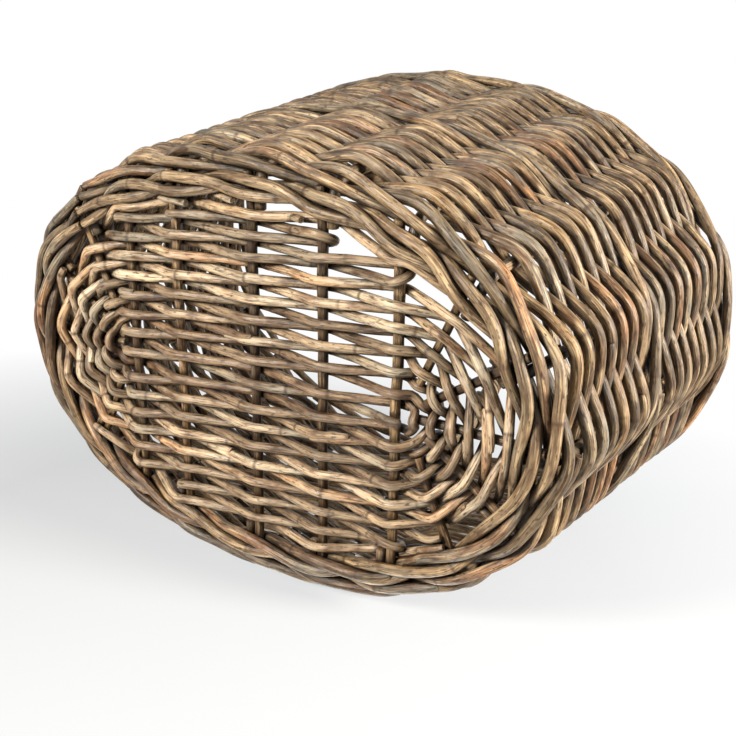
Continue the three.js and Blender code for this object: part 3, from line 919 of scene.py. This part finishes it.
# %% [markdown]
# ## Handle
# The handle is a thick cane bent into a hoop, with its legs pushed down into the weave beside the middle
# stakes. Half a torus would give the bow but not the legs, so it is a rod like the others.

# %% Hoop
HANDLE_RISE = 150 * MM
HANDLE_STEPS = 18
HOOP_SIDE = Vector((1, 0, 0))

legs = []
for post in [p for p in posts if p.place == LEG_PLACE]:
    bottom, _ = wall_point(post, at_height(post, LEG_BOTTOM), 0, LEG_OFFSET)
    top, _ = wall_point(post, at_height(post, BODY_HEIGHT), 0, LEG_OFFSET)
    legs.append((bottom, top))


def hoop_point(share):
    angle = pi * share
    point = legs[0][1].lerp(legs[1][1], (1 - cos(angle)) / 2)
    point.z += HANDLE_RISE * sin(angle)
    return point


route = Route().add(legs[0][0], HOOP_SIDE)
for step in range(HANDLE_STEPS + 1):
    route.add(hoop_point(step / HANDLE_STEPS), HOOP_SIDE)
route.add(legs[1][0], HOOP_SIDE)
single("handle_hoop", route, radius=HANDLE_R, stiffness=6 * MM, step=3.5 * MM, sides=20)

# %% [markdown]
# Thin canes are wound round the hoop where the hand goes, as a band of five side by side. A Screw
# modifier winds only round a straight line, so the turns are worked out round the hoop itself.

# %% Winding
WRAP_R = 2.2 * MM
WRAP_TURNS = 13
WRAP_STEPS = 16
WRAP_START = 0.13
WRAP_CANES = 5
WRAP_CANE_PITCH = 4.6 * MM
LOOK_AHEAD = 0.01


def wrap_route(cane):
    wrap = Route()
    wrap_reach = HANDLE_R + WRAP_R + CLEARANCE
    hoop_speed = pi * (legs[0][1] - legs[1][1]).length / 2
    steps = WRAP_TURNS * WRAP_STEPS
    for step in range(steps + 1):
        share = WRAP_START + (1 - 2 * WRAP_START) * step / steps
        share += (cane - (WRAP_CANES - 1) / 2) * WRAP_CANE_PITCH / hoop_speed
        ahead = (hoop_point(share + LOOK_AHEAD) - hoop_point(share - LOOK_AHEAD)).normalized()
        across = ahead.cross(HOOP_SIDE).normalized()
        side = across.cross(ahead)
        angle = 2 * pi * step / WRAP_STEPS
        spoke = across * cos(angle) + side * sin(angle)
        wrap.add(hoop_point(share) + spoke * wrap_reach, spoke)
    return wrap


canes = []
for cane in range(WRAP_CANES):
    path, faces = relax(wrap_route(cane), stiffness=1.5 * MM)
    canes.append(shape_rod(path, faces, WRAP_R, step=2 * MM, ends=(0.5, 0.5), taper=12 * MM, wobble=0.1 * MM))
make_rods("fine_handle_wrap", canes, sides=8, node="handle_wrap")
print("pieces:", len(pieces), "triangles:",
      sum(len(p.data.loops) - 2 * len(p.data.polygons) for p in pieces))

# %% [markdown]
# ## Rattan
# Unpeeled rattan is the whole cane with its own skin on, steamed and bent. To the eye it is thin,
# slightly glossy bark: every rod has its own colour, from warm tan to grey and olive, with fine lines
# along it, small dark specks and a thin dark line at each leaf ring. A plain wood texture would give all
# rods one look, so the colour is built from the rod's own tint and coordinates: how far along it a point
# is, and where in its round section.

# %% Colours and node helper
def colour(code):
    """An sRGB hex value as the linear colour that a shader takes."""
    channels = [int(code[k:k + 2], 16) / 255 for k in (1, 3, 5)]
    return [c / 12.92 if c <= 0.04045 else ((c + 0.055) / 1.055) ** 2.4 for c in channels] + [1.0]


def empty_tree(owner):
    owner.use_nodes = True
    owner.node_tree.nodes.clear()
    return owner.node_tree


def add_node(tree, kind, inputs, **settings):
    """Each input gets a value, another node's output, or a node, which gives its first output."""
    node = tree.nodes.new("ShaderNode" + kind)
    for key, value in settings.items():
        setattr(node, key, value)
    for key, value in inputs.items():
        if isinstance(value, bpy.types.Node):
            value = value.outputs[0]
        if isinstance(value, bpy.types.NodeSocket):
            tree.links.new(value, node.inputs[key])
        else:
            node.inputs[key].default_value = value
    return node


# %% Marks on the skin, made of noise that is drawn out along the rod
# A mark's length along the rod and width across it, the noise values between which it comes in, how
# strongly it covers, how fine its noise is, its colour and how it mixes. Real fibres are 0.3 to 0.5 mm
# wide. The lines are drawn 1 mm wide, because finer ones don't show.
MARKS = {
    "weathered grey": ((45 * MM, 5 * MM), (0.52, 0.72), 0.4, 4.0, "#8b8577", "MIX"),
    "pale lines": ((22 * MM, 1.1 * MM), (0.5, 0.66), 0.6, 4.0, "#cdb38c", "MIX"),
    "dark lines": ((16 * MM, 0.9 * MM), (0.49, 0.67), 0.85, 4.0, "#3a2a1c", "MIX"),
    "stains": ((14 * MM, 5 * MM), (0.45, 0.7), 0.85, 6.0, "#7d5c3c", "MULTIPLY"),
    "specks": ((5 * MM, 1.3 * MM), (0.575, 0.66), 0.8, 5.0, "#2a1c12", "MIX"),
}
FACTOR, BELOW, ABOVE, RESULT = 0, 6, 7, 2  # the colour sockets of a Mix node


def rod_noise(tree, place, size, detail):
    along, across = size
    scaled = add_node(tree, "Mapping", {"Vector": place, "Scale": (1 / along, 1 / across, 1 / across)})
    return add_node(tree, "TexNoise", {"Vector": scaled, "Scale": 1.0, "Detail": detail}).outputs["Fac"]


# %% The rod's own shade, which changes slowly along it
def own_shade(tree, place, shades, lot):
    slow = rod_noise(tree, place, (70 * MM, 16 * MM), 3.0)
    shade = add_node(tree, "Math", {0: slow, 1: 0.9, 2: -0.45}, operation="MULTIPLY_ADD")
    shade = add_node(tree, "Math", {0: shade, 1: lot}, operation="ADD")
    ramp = add_node(tree, "ValToRGB", {"Fac": shade})
    while len(ramp.color_ramp.elements) < len(shades):
        ramp.color_ramp.elements.new(0.5)
    for k, (element, code) in enumerate(zip(ramp.color_ramp.elements, shades)):
        element.position = k / (len(shades) - 1)
        element.color = colour(code)
    return ramp.outputs["Color"]


# %% A material of unpeeled rattan
def rattan(name, shades, roughness):
    material = bpy.data.materials.new(name)
    tree = empty_tree(material)
    place = add_node(tree, "Attribute", {}, attribute_name="rod_place").outputs["Vector"]
    tint = add_node(tree, "Attribute", {}, attribute_name="rod_tint")
    lots = add_node(tree, "SeparateColor", {"Color": tint.outputs["Color"]})
    skin = own_shade(tree, place, shades, lots.outputs["Red"])

    # The marks lie on one another, and their noise is kept for the surface
    noises = {}
    for mark, (size, (low, high), strength, detail, code, blend) in MARKS.items():
        noises[mark] = rod_noise(tree, place, size, detail)
        mask = add_node(tree, "MapRange", {
            "Value": noises[mark], "From Min": low, "From Max": high, "To Max": strength})
        skin = add_node(tree, "Mix", {FACTOR: mask, BELOW: skin, ABOVE: colour(code)},
                        data_type="RGBA", blend_type=blend).outputs[RESULT]

    # Leaf rings are dark, and some rods are lighter than others
    ring = add_node(tree, "MapRange", {
        "Value": tint.outputs["Alpha"], "From Min": 0.35, "From Max": 0.85, "To Max": 0.75})
    skin = add_node(tree, "Mix", {FACTOR: ring, BELOW: skin, ABOVE: colour("#3a2818")},
                    data_type="RGBA").outputs[RESULT]
    light = add_node(tree, "MapRange", {"Value": lots.outputs["Green"], "To Min": 0.56, "To Max": 1.3})
    toned = add_node(tree, "HueSaturation", {"Color": skin, "Value": light})

    # Painted shade: the colour is darkened where rods meet, in the creases where shade falls
    open_air = add_node(tree, "AmbientOcclusion", {"Distance": 6 * MM}, samples=6)
    painted_crease_shade = add_node(tree, "MapRange", {
        "Value": open_air.outputs["AO"], "From Min": 0.28, "From Max": 0.92, "To Min": 0.95, "To Max": 0.0})
    skin = add_node(tree, "Mix", {FACTOR: painted_crease_shade, BELOW: toned, ABOVE: colour("#2f231a")},
                    data_type="RGBA", blend_type="MULTIPLY").outputs[RESULT]

    # Lines and specks stand up a little, and stained skin is duller
    height = add_node(tree, "Math", {0: noises["pale lines"], 1: 0.8, 2: noises["specks"]},
                      operation="MULTIPLY_ADD")
    bump = add_node(tree, "Bump", {"Height": height, "Strength": 0.65, "Distance": 0.8 * MM})
    gloss = add_node(tree, "MapRange", {
        "Value": noises["stains"], "To Min": roughness - 0.12, "To Max": roughness + 0.15})
    shader = add_node(tree, "BsdfPrincipled", {
        "Base Color": skin, "Roughness": gloss, "Specular IOR Level": 0.32, "Normal": bump})
    add_node(tree, "OutputMaterial", {"Surface": shader})
    print(name, "has", len(tree.nodes), "nodes and", len(shades), "shades")
    return material


# %% [markdown]
# A maker sorts rods into lots. The wall's are mixed, brown to grey. The middle wale is of a darker lot,
# the base of a paler and cleaner one, and the sticks are painted dark brown for the shade they lie in
# between the rods. One ramp can't hold these apart, so each lot is a material of its own, made by the
# same function.

# %% Four lots of rattan
wall_rattan = rattan("unpeeled_rattan_wall", [
    "#4b3d2c", "#6f5c44", "#8a775c", "#67645a", "#8c6544", "#5a4c3c", "#8e7553", "#746d5e"], 0.42)
dark_rattan = rattan("unpeeled_rattan_dark", [
    "#463c30", "#5e5445", "#776a55", "#56524a", "#7c6549", "#685e4e"], 0.42)
base_rattan = rattan("unpeeled_rattan_base", [
    "#88705a", "#ae9678", "#c8b092", "#a69c88", "#b4906c", "#967c62"], 0.4)
# The sticks' dark brown is painted shade, for the shade they lie in between the rods
shaded_stick_rattan = rattan("unpeeled_rattan_sticks_painted_shade", ["#5c452e", "#7a5f41", "#8f7856", "#6a553b"], 0.45)

# %% Give each piece its rattan, by the first of these words that its name holds
LOTS = [
    ("cross_stick", shaded_stick_rattan, "cross_stick"),
    ("end_stick", shaded_stick_rattan, "end_stick"),
    ("base_weaver", base_rattan, "base_rod"),
    ("packing_rod", base_rattan, "base_rod"),
    ("long_rod", base_rattan, "base_rod"),
    ("middle_wale", dark_rattan, "wale_rod"),
    ("wale", wall_rattan, "wale_rod"),
    ("weaver", wall_rattan, "wall_rod"),
    ("stake", wall_rattan, "stake"),
    ("hoop", wall_rattan, "handle_cane"),
    ("wrap", wall_rattan, "handle_winding"),
]
for piece in pieces:
    _, material, slot = next(lot for lot in LOTS if lot[0] in piece.name)
    piece.data.materials.append(material)
print("slots:", sorted({slot for _, _, slot in LOTS}))

# %% [markdown]
# ## Floor
# The basket lies on its long side, so the floor touches its foot and its rim. Turning the basket onto a
# level floor would look the same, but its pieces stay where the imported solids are. The floor is matt
# white paper. Only its upper side is there, so that views from below and behind show the basket.

# %% Where the floor touches
WALL_SLOPE = 0.13  # how far the wall leans out on its way up
LOW_BAND, HIGH_BAND = 0.05, 0.2  # the foot's points lie below the one, the rim's above the other
FLOOR_GAP = 0.3 * MM

body = [p for p in pieces if "handle" not in p.name]
all_points = np.vstack([np.array([tuple(v.co) for v in p.data.vertices]) for p in body])
low_band = all_points[all_points[:, 2] < LOW_BAND]
high_band = all_points[all_points[:, 2] > HIGH_BAND]
foot_touch = low_band[np.argmax(low_band[:, 1] - WALL_SLOPE * low_band[:, 2])]
rim_touch = high_band[np.argmax(high_band[:, 1] - WALL_SLOPE * high_band[:, 2])]
floor_run = Vector((0, rim_touch[1] - foot_touch[1], rim_touch[2] - foot_touch[2])).normalized()
floor_up = Vector((0, -floor_run.z, floor_run.y))
floor_middle = Vector((0, foot_touch[1], foot_touch[2])) - floor_up * FLOOR_GAP
print("floor touches the foot at", foot_touch / MM, "and the rim at", rim_touch / MM)

# %% The plane
bpy.ops.mesh.primitive_plane_add(size=9)
floor_object = bpy.context.object
floor_object.name = "studio_floor"
axes = Matrix((Vector((1, 0, 0)), floor_up.cross(Vector((1, 0, 0))), floor_up)).transposed()
floor_object.data.transform(Matrix.Translation(floor_middle) @ axes.to_4x4())
print("floor's upper side faces", [round(v, 3) for v in floor_up])


# %% [markdown]
# Lamps that light the paper as bright as the page would wash out the basket. So the paper keeps the
# shadow, but to the camera, in a gloss and through glass it glows a little. Light Path tells these rays
# from the ones that light the basket.

# %% What the camera sees, straight, in a gloss or through glass
def directly_seen(tree):
    rays = add_node(tree, "LightPath", {})
    seen = rays.outputs["Is Camera Ray"]
    for kind in ("Is Glossy Ray", "Is Transmission Ray"):
        seen = add_node(tree, "Math", {0: seen, 1: rays.outputs[kind]}, operation="MAXIMUM")
    return rays, seen


# %% White paper: a glow near the basket, weaker on the left as a painted shadow, and plain white further out
paper = bpy.data.materials.new("white_paper")
tree = empty_tree(paper)
rays, seen_directly = directly_seen(tree)
diffuse = add_node(tree, "BsdfDiffuse", {"Color": colour("#7c7e80")})
floor_place = add_node(tree, "TexCoord", {}).outputs["Object"]
floor_side = add_node(tree, "SeparateXYZ", {0: floor_place}).outputs["X"]
# The glow is weaker on the left: a painted shadow of the basket on the paper
painted_shadow_strength = add_node(tree, "MapRange", {
    "Value": floor_side, "From Min": -0.3, "From Max": 0.3, "To Min": 0.5, "To Max": 0.71})
near_glow = add_node(tree, "Emission", {"Color": colour("#f1f5f8"), "Strength": painted_shadow_strength})
near = add_node(tree, "AddShader", {0: diffuse, 1: near_glow})
far = add_node(tree, "Emission", {"Color": colour("#ffffff"), "Strength": 1.0})
from_middle = add_node(tree, "VectorMath", {0: floor_place, 1: floor_middle}, operation="DISTANCE")
away = add_node(tree, "MapRange", {
    "Value": from_middle.outputs["Value"], "From Min": 0.24, "From Max": 0.6})
faded = add_node(tree, "MixShader", {0: away, 1: near, 2: far})
seen = add_node(tree, "MixShader", {0: seen_directly, 1: diffuse, 2: faded})

# %% Only the paper's upper side is there, and it casts no shadow itself
from_below = add_node(tree, "NewGeometry", {}).outputs["Backfacing"]
passing = add_node(tree, "Math", {0: from_below, 1: rays.outputs["Is Shadow Ray"]}, operation="MAXIMUM")
clear = add_node(tree, "BsdfTransparent", {})
one_way = add_node(tree, "MixShader", {0: passing, 1: seen, 2: clear})
add_node(tree, "OutputMaterial", {"Surface": one_way})
floor_object.data.materials.append(paper)
print(paper.name, "has", len(tree.nodes), "nodes")

# %% [markdown]
# ## World, camera and lamps
# The world is white to the camera and gives the basket only a mild even light. A white world at full
# strength would light the creases too, and then no rod would stand out from the next.

# %% World
world = bpy.data.worlds.new("studio")
bpy.context.scene.world = world
tree = empty_tree(world)
white = add_node(tree, "Background", {"Color": colour("#ffffff"), "Strength": 1.0})
fill = add_node(tree, "Background", {"Color": colour("#f8f4ee"), "Strength": 0.1})
chosen = add_node(tree, "MixShader", {0: directly_seen(tree)[1], 1: fill, 2: white})
add_node(tree, "OutputWorld", {"Surface": chosen})
print("world:", world.name)

# %% [markdown]
# The camera could be moved about until the picture fits. Here its place, its three directions and its
# focal length were solved from the two ovals and the sticks of the photograph, and are given as found.

# %% Camera
CAMERA_PLACE = Vector((338.4, -211.2, -408.5)) * MM
CAMERA_RIGHT = Vector((0.84801121, -0.01818049, 0.52966635))
CAMERA_UP = Vector((-0.20402675, -0.93358405, 0.29460804))
CAMERA_BACK = Vector((0.48913195, -0.35789702, -0.79539905))
FOCAL_PIXELS = 927.6
FRAME_PIXELS = 736

camera_data = bpy.data.cameras.new("camera")
camera_data.sensor_width = 36
camera_data.lens = FOCAL_PIXELS / FRAME_PIXELS * camera_data.sensor_width
camera = bpy.data.objects.new("camera", camera_data)
bpy.context.collection.objects.link(camera)
turned = Matrix((CAMERA_RIGHT, CAMERA_UP, CAMERA_BACK)).transposed().to_4x4()
camera.matrix_world = Matrix.Translation(CAMERA_PLACE) @ turned
bpy.context.scene.camera = camera
bpy.context.scene.view_settings.view_transform = "Standard"
print("focal length:", round(camera_data.lens, 1), "mm")


# %% [markdown]
# Three round area lamps light the basket, as soft boxes do in a studio. A sun lamp would give hard, even
# shadows. They are placed as the photographer sees them, and all look at the middle of the body.

# %% Lamps
LAMP_DISTANCE = 1.6
LAMP_TARGET = Vector((0, 0, 0.12))


def add_lamp(name, right, up, back, size, power):
    data = bpy.data.lights.new(name, "AREA")
    data.shape = "DISK"
    data.size = size
    data.energy = power
    data.color = colour("#fff6ea")[:3]
    lamp = bpy.data.objects.new(name, data)
    bpy.context.collection.objects.link(lamp)
    direction = (CAMERA_RIGHT * right + CAMERA_UP * up + CAMERA_BACK * back).normalized()
    place = LAMP_TARGET + direction * LAMP_DISTANCE
    lamp.matrix_world = Matrix.Translation(place) @ direction.to_track_quat("Z", "Y").to_matrix().to_4x4()
    print(name, "lamp at", [round(v, 2) for v in place], "of", power, "watts")


add_lamp("key_right", right=0.85, up=0.1, back=0.5, size=0.4, power=64)
add_lamp("soft_left", right=-0.66, up=0.24, back=0.7, size=0.4, power=50)
add_lamp("below", right=-0.2, up=-0.9, back=-0.4, size=0.8, power=34)
